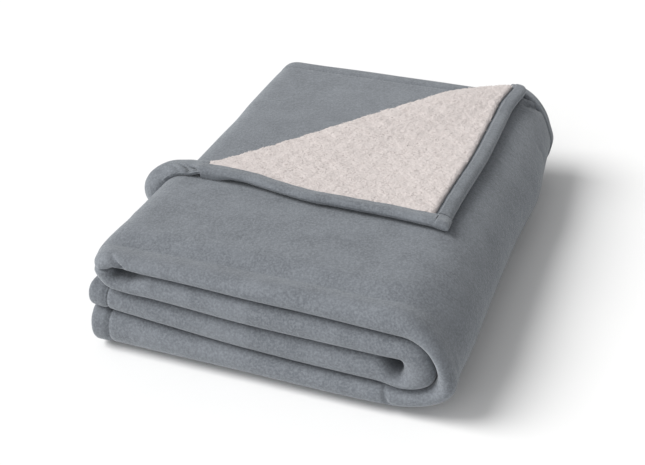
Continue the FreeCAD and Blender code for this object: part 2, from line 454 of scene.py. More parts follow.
def spiral_rails():
    """Rails for the outer and the inner side of the layer, and where its runs begin."""
    half = GAP / 2
    x_in, x_out, x_left = INNER_TURN, RIGHT_TURN, LEFT_TURN
    slit = [seam_height(level, x_in) for level in range(5)]
    slit_left = [seam_height(level, x_left) for level in range(5)]
    outer, inner = [], []

    # Second layer, from its free end to the right, where its top slopes down into a hollow
    outer.append(line_rail(2, OPEN_END, x_in, LONG_RUN, -half))
    outer[-1][:, 1] -= RIGHT_HOLLOW * smooth((outer[-1][:, 0] - x_in + 19) / 20)
    inner.append(line_rail(1, OPEN_END, x_in, LONG_RUN, half))

    # Turn inside the right end, around the hollow
    outer.append(hollow_rail(x_in, slit[2] - half, RIGHT_HOLLOW, RIGHT_HOLLOW + GAP, 2.5))
    inner.append(turn_rail(x_in, slit[1] + half, slit[3] - half, INNER_BEND, -90, 90, TURN_STEPS, 2.2)[1:])

    # Third layer, back to the left
    outer.append(line_rail(2, x_in, x_left, SHORT_RUN, half)[1:])
    inner.append(line_rail(3, x_in, x_left, SHORT_RUN, -half)[1:])
    inner[-1][:, 1] -= LEFT_HOLLOW * smooth((x_left + 30 - inner[-1][:, 0]) / 20)

    # Turn at the left, around a small hollow
    left_turn = turn_rail(0, slit_left[2] + half, slit_left[4], LEFT_BEND, -90, 90, TURN_STEPS, 2.1)
    left_turn[:, 0] = x_left - left_turn[:, 0]
    outer.append(left_turn[1:])
    inner.append(hollow_rail(x_left, slit_left[3] - half, LEFT_HOLLOW, LEFT_HOLLOW + 1.5, -2))

    # Top layer, to the right
    outer.append(line_rail(4, x_left, x_out, SHORT_RUN)[1:])
    inner.append(line_rail(3, x_left, x_in, SHORT_RUN, half)[1:])
    inner[-1][:, 1] += smooth((x_left + 26 - inner[-1][:, 0]) / 22)

    # Around everything at the right end
    outer.append(turn_rail(x_out, 0, STACK_TOP, STACK_TOP / 2, 90, -90, TURN_STEPS, 2.1)[1:])
    inner_reach = INNER_BEND + 0.7
    inner.append(turn_rail(x_in, slit[1] - half, slit[3] + half, inner_reach, 90, -90, TURN_STEPS, 2.2)[1:])

    # Bottom layer, to its free end
    outer.append(line_rail(0, x_out, OPEN_END, LONG_RUN)[1:])
    inner.append(line_rail(1, x_in, OPEN_END, LONG_RUN, -half)[1:])
    starts = np.cumsum([0] + [len(run) for run in outer])
    return np.concatenate(outer), np.concatenate(inner), starts


outer_rail, inner_rail, run_starts = spiral_rails()
print("spiral stations", len(outer_rail))

# %% [markdown]
# ## The fold from front to back
# Cut through one layer and there are four plies: the cloth starts at a hem on the back edge, runs
# forward, folds at the front, runs back, folds again at the back and ends at a second hem inside.
# The line below follows the middle of the cloth, in nominal millimetres across a layer.

# %% Line through the four plies of a layer
HALF_LAYER = 12.0
HALF_PLY = 2.9          # half the thickness of the cloth
FRONT_ROUND = 12.0      # radius of the front folds


def fold_arc(centre_y, centre_n, radius_y, radius_n, start, end, steps):
    """Points along a bend, without its two ends."""
    angle = np.radians(np.linspace(start, end, steps))[1:-1]
    return np.stack([centre_y + radius_y * np.cos(angle), centre_n + radius_n * np.sin(angle)], 1)


def ply_line():
    """Middle line of the cloth through a layer, as (y, across) points."""
    ply = HALF_LAYER / 4
    front = FRONT + FRONT_ROUND
    inner_front = front + 2
    back = BACK - 2 * ply
    runs = []
    y = spaced(BACK - 2, front, 2.2, 5.0, 36)
    runs.append(np.stack([y, np.full_like(y, 3 * ply)], 1))
    runs.append(fold_arc(front, 0, FRONT_ROUND - ply, 3 * ply, 90, 270, 30))
    y = spaced(front, back, 2.5, 9.0, 26)
    runs.append(np.stack([y, np.full_like(y, -3 * ply)], 1))
    runs.append(fold_arc(back, -2 * ply, ply, ply, -90, 90, 12))
    y = spaced(back, inner_front, 4.0, 14.0, 20)
    runs.append(np.stack([y, np.full_like(y, -ply)], 1))
    runs.append(fold_arc(inner_front, 0, ply, ply, 270, 90, 10))
    y = spaced(inner_front, BACK - 5, 2.2, 12.0, 30)
    runs.append(np.stack([y, np.full_like(y, ply)], 1))
    return np.concatenate(runs)


section = ply_line()
steps_along = np.gradient(section, axis=0)
section_normal = unit(np.stack([steps_along[:, 1], -steps_along[:, 0]], 1))
section_length = arc_length(section)
print("cloth through a layer", round(section_length[-1]), "mm in", len(section), "stations")

# %% [markdown]
# ### The cloth between the rails
# A real stack is never square. Its layers stand a little forward or back of each other, its right wall
# bellies out, the top fold rolls up at the front, and short creases form where plies bunch in a turn.
# Each of these is a smooth push on the points, so that neighbouring plies move together.

# %% Place the cloth between the rails
# How far each run of the spiral stands back from the front.
RUN_SHIFTS = (1.2, 0.4, -0.6, -0.3, 0.0, 0.4, -0.8)
SHIFT_BLUR = 15         # stations that a change of shift is spread over
UNEVEN = (0.9, 1.0, 0.7)
UNEVEN_LENGTHS = (150, 130, 120)
FRONT_RISE = 3.2
TOE_RISE = 6.0
BELLY = 6.0             # the right wall's bulge, half way back
BELLY_FRONT = 3.0       # and all along it
TOE_BULGE = 8.0         # at the lower right of the front
CORNER_BULGE = 10.0     # at the upper left of the front
BACK_DRAW = 3.0         # the back is drawn in at the upper right
TAIL_BULGE = 2.5        # and fuller at the left


def run_shift():
    """The shift of each station of the spiral, with soft changes from run to run."""
    shift = np.concatenate([
        np.full(run_starts[run + 1] - run_starts[run], value) for run, value in enumerate(RUN_SHIFTS)
    ])
    kernel = np.ones(SHIFT_BLUR) / SHIFT_BLUR
    return np.convolve(np.pad(shift, SHIFT_BLUR // 2, mode="edge"), kernel, mode="valid")


front_setback = run_shift()


def side_bulge(points):
    """The right wall bellies out, and the upper left corner at the front is fuller."""
    x, y, z = points[..., 0], points[..., 1], points[..., 2]
    right = smooth((x - 105) / 50)
    belly = (BELLY_FRONT * smooth((150 - y) / 60) + BELLY * bell(y - 115, 75)) * bell(z - 36, 36)
    toe = TOE_BULGE * bell(y + 226, 45) * bell(z - 26, 26)
    back = BACK_DRAW * smooth((y - 185) / 35) * smooth((z - 45) / 20)
    left = smooth((-105 - x) / 35)
    corner = CORNER_BULGE * bell(y + 192, 30) * smooth((z - 72) / 14)
    tail = TAIL_BULGE * smooth((y - 60) / 60)
    return right * (belly + toe - back) - left * (corner + tail)


def settle(points):
    """Soft unevenness that the whole stack shares, so that plies never cross."""
    height = np.clip(points[..., 2] / STACK_TOP, 0, 1.2)
    moved = points.copy()
    for axis, share in enumerate((height, 1, height)):
        moved[..., axis] += UNEVEN[axis] * ripple(points, UNEVEN_LENGTHS[axis], 11 + axis) * share
    moved[..., 0] += side_bulge(points)
    moved[..., 2] = np.maximum(moved[..., 2], 0.05)
    return moved


def front_roll(points):
    """The top layer's front fold stands a little higher than the layer behind it."""
    low = seam_height(3, points[..., 0])
    share = np.clip((points[..., 2] - low) / (STACK_TOP - low), 0, 1)
    near = smooth((FRONT + 32 - points[..., 1]) / 22)
    inside = smooth((RIGHT_TURN + 45 - points[..., 0]) / 40)
    points[..., 2] += FRONT_RISE * share * near * inside
    return points


def toe_lift(points):
    """The lowest fold is round at the front, so it leaves the floor there."""
    near = smooth((FRONT + 30 - points[..., 1]) / 28)
    low = 1 - np.clip(points[..., 2] / 34, 0, 1)
    points[..., 2] += TOE_RISE * near * low
    return points


def segment_distance(x, z, start, end):
    """Distance from a short line, drawn on the front of the stack."""
    along = np.array(end) - np.array(start)
    share = ((x - start[0]) * along[0] + (z - start[1]) * along[1]) / (along @ along)
    share = np.clip(share, 0, 1)
    return np.hypot(x - start[0] - share * along[0], z - start[1] - share * along[1])


# Creases on the front, as (x, height) of both ends, width and depth.
CREASES = (
    ((-134, 100), (-122, 91), 1.6, 4.0),
    ((-158, 83), (-124, 86), 1.3, 3.2),
    ((-95, 77), (-70, 75), 3.5, 1.8),
    ((104, 24), (107, 12), 2.0, 2.8),
)
PINCH_HEIGHT = 84       # where the left turn is drawn in, between its two bulges
PINCH_DEPTH = 2.6


def press_creases(points):
    """Short creases at the front, where the plies bunch in the turns."""
    x, z = points[..., 0], points[..., 2]
    near = smooth((FRONT + 16 - points[..., 1]) / 10)
    push = np.zeros_like(x)
    for start, end, width, depth in CREASES:
        push += depth * bell(segment_distance(x, z, start, end), width)
    pinch = bell(z - PINCH_HEIGHT, 2.2) * smooth((-142 - x) / 6)
    points[..., 0] += PINCH_DEPTH * pinch * smooth((FRONT + 40 - points[..., 1]) / 20)
    points[..., 1] += push * near
    return points


def stack_grid(rows, cols, offset):
    """Cloth points for some stations of the spiral and of the section, at an offset."""
    y = section[cols, 0] + offset * section_normal[cols, 0]
    across = section[cols, 1] + offset * section_normal[cols, 1]
    share = ((across / HALF_LAYER) + 1) / 2
    outside = outer_rail[rows][:, None, :]
    inside = inner_rail[rows][:, None, :]
    place = inside + (outside - inside) * share[..., None]
    setback = bell(y - FRONT, 60) * front_setback[rows][:, None]
    points = np.stack([place[..., 0], y + setback, place[..., 1]], -1)
    return settle(press_creases(toe_lift(front_roll(points))))


# %% [markdown]
# ## Face, lining and hems of the stack
# The fleece is the outer skin of the ply and the sherpa is what lies behind it. At the cloth's
# edges the fleece turns over the lining, and a line of stitching pulls a groove beside the hem.
# The same grid makes all of them, so that they meet exactly.

# %% Offsets of the stack's skins
station = np.arange(len(outer_rail))
end_reach = np.abs(outer_rail[:, 0] - OPEN_END)
first_run = station < run_starts[1]
last_run = station >= run_starts[6]
from_end = np.where(first_run | last_run, end_reach, 999.0)
hem_a = section_length
hem_b = section_length[-1] - section_length
from_edge = np.minimum(hem_a, hem_b)


def rounded(distance, radius):
    """Share of full thickness near a rounded edge."""
    t = np.clip(1 - distance / radius, 0, 1)
    return np.sqrt(np.clip(1 - t * t, 0.0004, 1))


def seam_dip(distance, width, depth):
    """Share of full thickness near the stitches beside a hem."""
    return 1 - depth * bell(distance - HEM, width)


HEM_SWELL = 0.16


def half_thickness():
    """Half the cloth's thickness over the whole grid, swollen at hems, pulled in at seams."""
    ends = from_end[:, None]
    edges = from_edge[None, :]
    swell = 1 + HEM_SWELL * (smooth((HEM - ends) / 4) + smooth((HEM - edges) / 4))
    shape = rounded(ends, 4.5) * rounded(edges, 4.0)
    dips = seam_dip(ends, 1.9, 0.42) * seam_dip(edges, 1.7, 0.5)
    return HALF_PLY * np.clip(swell, 1, 1.2) * shape * dips


half_cloth = half_thickness()
all_cols = np.arange(len(section))
body_rows = station[from_end >= HEM - 0.1]
body_cols = all_cols[from_edge >= HEM - 0.1]


def patch(rows, cols, top_share, bottom_share):
    """Closed skin over part of the stack, between two shares of the half thickness."""
    half = half_cloth[np.ix_(rows, cols)]
    return shell(stack_grid(rows, cols, half * top_share), stack_grid(rows, cols, half * bottom_share))


print("thickness of the cloth", round(2 * half_cloth.min(), 2), "to", round(2 * half_cloth.max(), 2), "mm")

# %% [markdown]
# ### Face and lining
# Both are closed skins cut from the same grid. The lining starts a little further in than the face,
# so that no pile shows in the groove beside a hem.

# %% Face and lining of the stack
LINING_INSET = 2.5
stack_face = add_piece("stack_face", [patch(body_rows, body_cols, 1.0, 0.35)], fleece)
lining_rows = station[from_end >= HEM + LINING_INSET]
lining_cols = all_cols[from_edge >= HEM + LINING_INSET]
stack_lining = add_piece("stack_lining", [patch(lining_rows, lining_cols, 0.25, -0.98)], sherpa)

# %% [markdown]
# ### Hems
# The two end hems close the layers that stop at the left, and the long hem runs along the cloth's two
# long edges. They lap 2 mm over the face, which hides the joint in the stitched groove.

# %% Hems of the stack
hem_rows_low = station[(from_end <= HEM + 2) & last_run]
hem_rows_up = station[(from_end <= HEM + 2) & first_run]
edge_cols_a = all_cols[hem_a <= HEM + 2]
edge_cols_b = all_cols[hem_b <= HEM + 2]
lower_end = add_piece("lower_end", [patch(hem_rows_low, all_cols, 1.0, -1.0)], hem_fleece)
upper_end = add_piece("upper_end", [patch(hem_rows_up, all_cols, 1.0, -1.0)], hem_fleece)
long_edge = add_piece(
    "long_edge",
    [patch(body_rows, edge_cols_a, 1.0, -1.0), patch(body_rows, edge_cols_b, 1.0, -1.0)],
    hem_fleece,
)

# %% [markdown]
# ## A way to lay cloth over the stack
# The top ply and the turned corner lie on the stack and bend down its rounded sides. A point on
# them is given by how far along it lies from side to side, how far back, and how high above the
# stack, so the same numbers work on the flat top and around the shoulders.

# %% Coordinates over the stack
LEFT_REACH = 22.0       # how far the left turns reach past where they begin
LEFT_HEART = (seam_height(2, LEFT_TURN) + STACK_TOP) / 2
LEFT_ROLL = 38.0        # cloth that one radian of the left turn takes up
RIGHT_ROLL = STACK_TOP / 2 + PLY
STACK_GAP = 0.4


def over_stack(along, y, height):
    """Point above the stack. Past the turns, along bends down the left or the right side."""
    left = np.clip((LEFT_TURN - along) / LEFT_ROLL, 0, None)
    right = np.clip((along - RIGHT_TURN) / RIGHT_ROLL, 0, None)
    x = np.clip(along, LEFT_TURN, RIGHT_TURN)
    x = x - (LEFT_REACH + height) * np.sin(left) + (STACK_TOP / 2 + height) * np.sin(right)
    on_left = LEFT_HEART + (STACK_TOP - LEFT_HEART + height) * np.cos(left)
    on_right = STACK_TOP / 2 + (STACK_TOP / 2 + height) * np.cos(right)
    z = np.where(along < 0, on_left, on_right)
    return np.stack(np.broadcast_arrays(x, y, z), -1)


FOLD_SLOPE = -fold_axis[1] / -fold_axis[0]
DRAPE_TIP = LEFT_TURN - LEFT_ROLL * math.radians(109)
HEM_SWEEP = 13.5


def hem_line(along):
    """Outer edge of the turned corner's long hem. It comes forward towards the right."""
    forward = HEM_SWEEP * smooth((along + 80) / 85) + 3.0 * smooth((along - 60) / 50)
    return CORNER_Y + 3 - forward - 2 * smooth((-150 - along) / 40)


def fold_line(along):
    """Where the top ply turns over. At the left it bends to run beside the hem."""
    straight = fold_point[1] + (along - fold_point[0]) * FOLD_SLOPE
    ease = 14.0
    straight = -ease * np.logaddexp(-straight / ease, -(BACK - 26) / ease)
    strip = hem_line(along) + 17 - 8 * smooth((-150 - along) / 40)
    soft = 5.0
    return np.logaddexp(straight / soft, strip / soft) * soft


print("fold slope", round(float(FOLD_SLOPE), 3), "drape tip", round(DRAPE_TIP))

# %% [markdown]
# ## The top ply
# One ply lies over the whole stack, its fleece up. It ends in a soft rounded edge just behind the
# front, merges with the outer wrap on the right, and has a hem at its left end and at the back.

# %% Grid of the top ply
PLY_FRONT = -205.0
FRONT_ROUNDING = 25.0   # distance over which the front edge reaches full thickness
SIDE_ROUNDING = 18.0    # added to it at the sides
THIN_EDGE = 0.04        # share of the thickness at the edge itself
EDGE_SINK = 0.9         # the edge dips into the stack, so that no step shows
PLY_RIGHT = RIGHT_TURN + RIGHT_ROLL * math.radians(125)
# Creases of the ply, as (along, back) of both ends, width and depth.
PLY_CREASES = (
    ((152, 212), (134, 194), 2.6, 4.5),
    ((146, 220), (128, 207), 2.4, 4.0),
    ((168, 150), (186, 156), 4.0, 1.6),
)


def ply_front(along):
    """Front edge of the ply, further forward on the right."""
    return PLY_FRONT - 7 * smooth((along + 20) / 140)


def ply_back(along):
    """Back edge of the ply: the diagonal fold, and the back hem to the right of it."""
    to_back = smooth((along - 100) / 24)
    return fold_line(along) * (1 - to_back) + (BACK + 1) * to_back


def ply_grid(along, depth, share, trim=0.0):
    """Top ply at shares of its depth from the front, and of its thickness from the middle."""
    a = along[:, None]
    front = ply_front(a)
    back = ply_back(a) - trim * smooth((a - 98) / 10)
    y = front + (back - front) * depth[None, :]
    from_front = y - front
    sides = smooth((np.abs(a + 12) - 95) / 60)
    round_over = FRONT_ROUNDING + SIDE_ROUNDING * sides
    swell = THIN_EDGE + (1 - THIN_EDGE) * smooth(from_front / round_over)
    taper = 1 - 0.93 * smooth((np.abs(a + 12) - 112) / 40) * np.clip(1 - from_front / 62, 0, 1)
    thickness = (PLY - STACK_GAP) * swell * taper
    ends = np.minimum(a - ply_left, PLY_RIGHT - a)
    thickness = thickness * rounded(ends, 4.0)
    height = STACK_GAP + thickness * (share + 1) / 2 - EDGE_SINK * (1 - smooth(from_front / 7))
    for start, end, width, push in PLY_CREASES:
        height = height - push * bell(segment_distance(a + 0 * y, y, start, end), width)
    return settle(over_stack(a + 0 * y, y, height))


ply_left = LEFT_TURN - LEFT_ROLL * math.radians(80)
ply_along = np.concatenate([
    np.linspace(ply_left, LEFT_TURN + 6, 26),
    np.linspace(LEFT_TURN + 6, RIGHT_TURN - 4, 44)[1:],
    np.linspace(RIGHT_TURN - 4, PLY_RIGHT, 40)[1:],
])
ply_depth = np.concatenate([np.linspace(0, 0.14, 26), np.linspace(0.14, 1, 70)[1:]])


def ply_skin(along, depth, top, bottom, trim=0.0):
    return shell(ply_grid(along, depth, top, trim), ply_grid(along, depth, bottom, trim))


end_along = ply_along[ply_along <= ply_left + HEM + 2]
open_along = ply_along[ply_along >= ply_left + HEM - 1]
inner_depth = ply_depth[ply_depth >= 0.08]
lined_along = open_along[open_along >= fold_point[0] + 4]
face_floor = 0.2 - 1.2 * smooth((fold_point[0] + 4 - open_along) / 3)[:, None]
ply_face = add_piece("ply_face", [ply_skin(open_along, ply_depth, 1.0, face_floor)], fleece)
ply_lining = add_piece(
    "ply_lining", [ply_skin(lined_along, inner_depth, 0.1, -1.0, HEM - 2)], sherpa
)
ply_end = add_piece("ply_end", [ply_skin(end_along, ply_depth, 1.0, -1.0)], hem_fleece)

# %% [markdown]
# ### Back hem of the top ply
# This hem shows only where it comes over the right shoulder, so it is a single rounded band.

# %% Back hem of the top ply
back_along = ply_along[ply_along >= 106]
BACK_HEM = 4.255        # half its thickness


def back_hem():
    """Rounded hem along the back edge of the top ply, down the right side."""
    across = np.linspace(0, HEM, 14)
    a = back_along[:, None]
    y = BACK + 2 - across[None, :] + 0 * a
    profile = rounded(across, 4.5) * rounded(HEM - across, 3.0)
    rise = BACK_HEM * profile[None, :] * rounded(np.minimum(PLY_RIGHT - a, a - back_along[0]), 5.0)
    middle = 0.5 * PLY + 0.7
    top = settle(over_stack(a + 0 * y, y, middle + rise))
    bottom = settle(over_stack(a + 0 * y, y, middle - rise * 0.8))
    return shell(top, bottom)


ply_back_edge = add_piece("ply_back_edge", [back_hem()], hem_fleece)

# %% [markdown]
# ## The turned corner
# The corner is the same cloth folded over its fleece side, so the sherpa is now on top. Near the
# fold it rolls over with a soft round edge, and further on it settles flat. A grid that follows the
# cloth from the hem's outer edge to the fold and around the roll carries every piece of it.

# %% Middle surface of the turned corner
PLY_MIDDLE = STACK_GAP + (PLY - STACK_GAP) / 2
REST_HEIGHT = PLY + 4.9
SETTLE_LENGTH = 62.0    # from the fold to where the corner lies flat


def roll_radius(along):
    """Radius of the roll at the fold, tight at the left and loose at the back."""
    return 4.4 + 3.4 * smooth((along + 120) / 240)


def corner_middle(along, reach):
    """Cloth of the corner: reach is the distance from the hem's outer edge, around the roll too."""
    a, s = np.broadcast_arrays(along[:, None], reach)
    edge, fold = hem_line(a), fold_line(a)
    flat = fold - edge
    radius = roll_radius(a)
    slope = fold_line(a + 0.5) - fold_line(a - 0.5)
    length = np.sqrt(1 + slope * slope)
    toward_x, toward_y = slope / length, -1 / length
    q = np.clip(flat - s, 0, None) * -toward_y
    angle = np.clip((s - flat) / radius, 0, math.pi)
    crest = PLY_MIDDLE + 2 * radius
    fall = 1 - smooth(q / SETTLE_LENGTH)
    lying = REST_HEIGHT + (crest - REST_HEIGHT) * fall
    height = np.where(s <= flat, lying, crest - radius * (1 - np.cos(angle)))
    back = np.where(s <= flat, 0, radius * np.sin(angle))
    on_left = smooth((LEFT_TURN + 14 - a) / 26)
    y = edge + np.minimum(s, flat) - toward_y * back
    x = a - toward_x * back * (1 - on_left)
    height = height - 5 * smooth((y - 145) / 55)
    return x, y, height


def corner_grid(along, reach, offset):
    """The corner's points at an offset from its middle, to the sherpa side when positive."""
    x, y, height = corner_middle(along, reach)
    points = over_stack(x, y, height)
    points[..., 0] += lean(points)
    normal = unit(np.cross(np.gradient(points, axis=0), np.gradient(points, axis=1)))
    return settle(points + normal * np.asarray(offset)[..., None])


def lean(points):
    """The short hem swings out to the right towards the back."""
    right = smooth((points[..., 0] - 20) / 90)
    y = points[..., 1]
    return right * (-4.5 + 5.5 * smooth((y + 90) / 140) + 5 * smooth((y - 150) / 50))


def reaches(along, start, inner_steps, end_angle=180, roll_steps=14):
    """Rows from a reach past the hem's edge to the fold, then around the roll."""
    flat = fold_line(along) - hem_line(along)
    first = np.minimum(start, flat)
    share = np.linspace(0, 1, inner_steps)
    rows = first[:, None] + (flat - first)[:, None] * share[None, :]
    roll = np.radians(np.linspace(0, end_angle, roll_steps + 1)[1:])
    around = flat[:, None] + roll_radius(along)[:, None] * roll[None, :]
    return np.concatenate([rows, around], 1)


# %% [markdown]
# ### Lining and fleece of the corner
# The pile's top is raised into tufts: each point looks for its two nearest tuft centres, stands high
# near the first and drops where both are equally far. Noise alone gives hills without clefts.

# %% Lining and fleece of the corner
PILE_THICK = 3.4        # from the middle of the cloth to the foot of the tufts
TUFT_SIZE = 3.2
INNER_X = CORNER_X - HEM + 3.5
HEM_END = fold_point[0] - 3
lining_along = np.linspace(HEM_END, INNER_X - 1.8, 190)
lining_reach = reaches(lining_along, HEM - 2.0, 190, 180, 22)


def tuft_height(points, size, seed):
    """Crowns of curled tufts, from 0 between them to 1 on top."""
    rng = np.random.default_rng(seed)
    flat_points = points.reshape(-1, 3)
    pick = flat_points[rng.choice(len(flat_points), int(len(flat_points) * 0.16), replace=False)]
    tree = kdtree.KDTree(len(pick))
    for index, place in enumerate(pick + rng.normal(scale=size * 0.2, size=pick.shape)):
        tree.insert(Vector(place), index)
    tree.balance()
    near = np.array([[hit[2] for hit in tree.find_n(Vector(place), 2)] for place in flat_points])
    crown = np.clip(1 - near[:, 0] / size, 0, 1)
    cleft = smooth((near[:, 1] - near[:, 0]) / (size * 0.6))
    return (0.55 * crown + 0.45 * cleft).reshape(points.shape[:-1])


lining_middle = corner_grid(lining_along, lining_reach, 0.0)
tufts = tuft_height(lining_middle, TUFT_SIZE, 21)
pile = PILE_THICK + 0.9 * tufts + 0.4 * ripple(lining_middle, 12, 22)
rim_fade = smooth((INNER_X - lining_along)[:, None] / 5) * 0.6 + 0.4
pile_top = corner_grid(lining_along, lining_reach, pile * rim_fade)
pile_foot = corner_grid(lining_along, lining_reach, -0.8)
corner_pile = add_piece("corner_pile", [shell(pile_top, pile_foot)], sherpa)
face_along = lining_along[::2]
face_reach = reaches(face_along, HEM - 3, 60)
face_sides = [corner_grid(face_along, face_reach, -depth) for depth in (1.6, 3.6)]
corner_face = add_piece("corner_face", [shell(*face_sides)], fleece)

# %% [markdown]
# ## Hems of the corner
# The hem is a fat rounded band, because the cloth is doubled in it. Its inner side dips where the
# stitches hold it down. At the left the band goes over the shoulder and ends in a narrow tip.

# %% Long hem, short hem, tuck and drape
HEM_THICK = 5.0         # half the thickness of the corner's hems
EDGE_LIFT = 2.2         # the outer edges stand up a little


def edge_lift(across):
    """How far a hem's outer edge stands up off the ply."""
    return EDGE_LIFT * bell(across, 9)


def uneven_hem(along, reach, wavelength, seed):
    """Slight changes of a hem's thickness along it."""
    return 1 + 0.05 * ripple(over_stack(along[:, None], reach, 0), wavelength, seed)


def band_profile(across, inner_dip):
    """Half thickness across a hem, rounded outside and pinched at the seam."""
    outer_edge = rounded(across, 7.5)
    inner_edge = 1 - inner_dip * smooth((across - HEM + 4.4) / 2.6)
    return HEM_THICK * outer_edge * inner_edge


def long_band():
    """Fat hem along the front of the corner, closed onto the ply near its left end."""
    along = np.linspace(HEM_END, INNER_X + 1.5, 120)
    across = np.linspace(0, HEM + 1.5, 20)
    flat = (fold_line(along) - hem_line(along))[:, None]
    reach = np.minimum(across[None, :] + 0 * flat, flat + roll_radius(along)[:, None] * 3.1)
    half = band_profile(across, 0.5)[None, :] * uneven_hem(along, reach, 26, 31)
    raised = edge_lift(across[None, :])
    closed = smooth((-84 - along) / 22)[:, None]
    below = raised * (1 - closed) - 2.6 * closed * rounded(across, 6.0)[None, :] - half * 0.9
    return shell(corner_grid(along, reach, half + raised), corner_grid(along, reach, below))


DRAPE_WIDTH = 24.0
DRAPE_NARROWS = 7.0     # towards the tip
DRAPE_HALF = 4.5        # half thickness at its start
DRAPE_SWELL = 3.6       # added to it further out
DRAPE_STAND = 6.5       # how far it stands off the shoulder
# Creases across the drape, as place along it, depth and width.
DRAPE_CREASES = ((-119, 3.6, 1.8), (-127, 4.0, 1.8), (-139, 2.0, 2.2), (-158, 1.4, 4.0))


def drape_band():
    """The folded edge over the left shoulder: fat, creased below, narrow at its tip."""
    along = np.linspace(DRAPE_TIP, HEM_END + 8, 150)[:, None]
    share = np.linspace(0, 1, 44)[None, :]
    width = DRAPE_WIDTH - DRAPE_NARROWS * smooth((-150 - along) / 45)
    across = share * width
    outward = smooth((-138 - along) / 42)
    tuck_in = smooth((along - HEM_END) / 8)
    lower = 1.5 * smooth((-118 - along) / 12)
    middle = PLY_MIDDLE + 2 * roll_radius(along) + DRAPE_STAND * outward - 0.8 * tuck_in - lower
    tip = 0.25 + 0.75 * rounded(along - DRAPE_TIP, 18.0)
    half = (DRAPE_HALF + DRAPE_SWELL * outward) * tip * (1 - 0.35 * tuck_in)
    edges = rounded(across, 7.5) * rounded(width - across, 9.0)
    sink = (middle - PLY - 3.6) * (1 - smooth(across / 12)) * smooth((HEM_END - 2 - along) / 14)
    middle = middle - sink
    folds = sum(
        depth * bell(along - place + 1.5 * across, size) for place, depth, size in DRAPE_CREASES
    )
    folds = folds * smooth((13 - across) / 8)
    y = hem_line(along) - 6 * smooth((-150 - along) / 35) + across
    y_top = y + folds * smooth((9 - across) / 6)
    middle = middle + edge_lift(across) * smooth((along - HEM_END + 16) / 16)
    top = middle + half * edges - folds * rounded(across, 3.0)
    top_grid = over_stack(along + 0 * y, y_top, top)
    under = middle - (half + 4.0 * outward) * edges
    return shell(settle(top_grid), settle(over_stack(along + 0 * y, y, np.maximum(under, STACK_GAP))))


def short_band():
    """Hem along the right of the corner, fullest halfway, and around the fold at the back."""
    along = np.linspace(INNER_X - 1.5, CORNER_X - 1.5, 24)
    reach = reaches(along, HEM, 130, 150, 14)
    across = (CORNER_X - 1.5 - along) * HEM / (CORNER_X - INNER_X)
    half = band_profile(across, 0.9)[:, None] * uneven_hem(along, reach, 30, 32)
    fuller = half * (1 + 0.35 * bell(reach - 105, 75))
    return shell(corner_grid(along, reach, fuller), corner_grid(along, reach, -half * 0.8))


def tuck_block():
    """Square where the two hems cross and are folded into each other."""
    along = np.linspace(INNER_X + 0.4, CORNER_X - 0.5, 20)
    reach = np.linspace(-0.3, HEM + 0.6, 20)[None, :] + 0 * along[:, None]
    raised = edge_lift(reach)
    sides = rounded(along - INNER_X, 3.5) * rounded(CORNER_X - 0.3 - along, 6.0)
    ends = rounded(reach + 0.4, 6.5) * rounded(HEM + 0.8 - reach, 3.0)
    half = HEM_THICK * sides[:, None] * ends
    return shell(corner_grid(along, reach, half + raised), corner_grid(along, reach, raised - half * 0.9))


corner_long = add_piece("corner_long", [long_band()], hem_fleece)
corner_short = add_piece("corner_short", [short_band()], hem_fleece)
corner_square = add_piece("corner_square", [tuck_block()], hem_fleece)
drape = add_piece("drape", [drape_band()], hem_fleece)

# %% [markdown]
# ## Curls of the sherpa
# A pile looks soft because single fibres stand out of it, most of all against the edge of the fold.
# Each strand here is a thin bent ribbon, and neighbours lean the same way, as they do in a curl.

# %% Strands on the corner
STRANDS = 11000
STRAND_LENGTHS = (1.2, 2.4)
# Half the ribbon's width at its root, its bend and its tip.
STRAND_WIDTHS = (0.2, 0.17, 0.05)


def strands(surface, count, seed):
    """Short bent ribbons that grow from a grid of points."""
    rng = np.random.default_rng(seed)
    cols = surface.shape[1]
    cell = np.cross(surface[1:, :-1] - surface[:-1, :-1], surface[:-1, 1:] - surface[:-1, :-1])
    weight = np.linalg.norm(cell, axis=2).ravel()
    i, j = np.divmod(rng.choice(len(weight), count, p=weight / weight.sum()), cols - 1)
    share_i, share_j = rng.random(count)[:, None], rng.random(count)[:, None]
    root = surface[i, j] * (1 - share_i) + surface[i + 1, j] * share_i
    root = root + (surface[i, j + 1] - surface[i, j]) * share_j
    normal = np.cross(surface[i + 1, j] - surface[i, j], surface[i, j + 1] - surface[i, j])
    keep = np.linalg.norm(normal, axis=1) > 0.02
    normal = unit(normal)
    turn = 3.1 * (ripple(root, 9, seed + 1) + 1) + rng.normal(scale=0.5, size=count)
    lean_way = np.stack([np.cos(turn), np.sin(turn), 0.3 * np.sin(2 * turn)], 1)
    side = unit(np.cross(normal, lean_way))
    length = rng.uniform(*STRAND_LENGTHS, count)[:, None]
    root = root - normal * 0.3
    middle = root + normal * length * 0.34 + lean_way * length * 0.45
    tip = root + normal * length * 0.36 + lean_way * length * 0.95
    levels = zip((root, middle, tip), STRAND_WIDTHS)
    points = np.stack([place + side * width * way for place, width in levels for way in (-1, 1)], 1)
    points = points[keep]
    first = np.arange(len(points))[:, None] * 6
    faces = np.concatenate([first + np.array([0, 1, 3, 2]), first + np.array([2, 3, 5, 4])])
    return points.reshape(-1, 3), faces


corner_curls = add_piece("corner_curls", [strands(pile_top, STRANDS, 41)], sherpa)

# %% [markdown]
# ## Stitches
# Each seam is a row of short stitches pressed into the pile. A stitch is a small capsule that dives
# at both ends, and the row follows the seam's own line over every fold.

# %% Rows of stitches
STITCH = 3.0
STITCH_GAP = 1.0
THREAD = 0.42       # half its thickness
SIDES = 6           # of a stitch
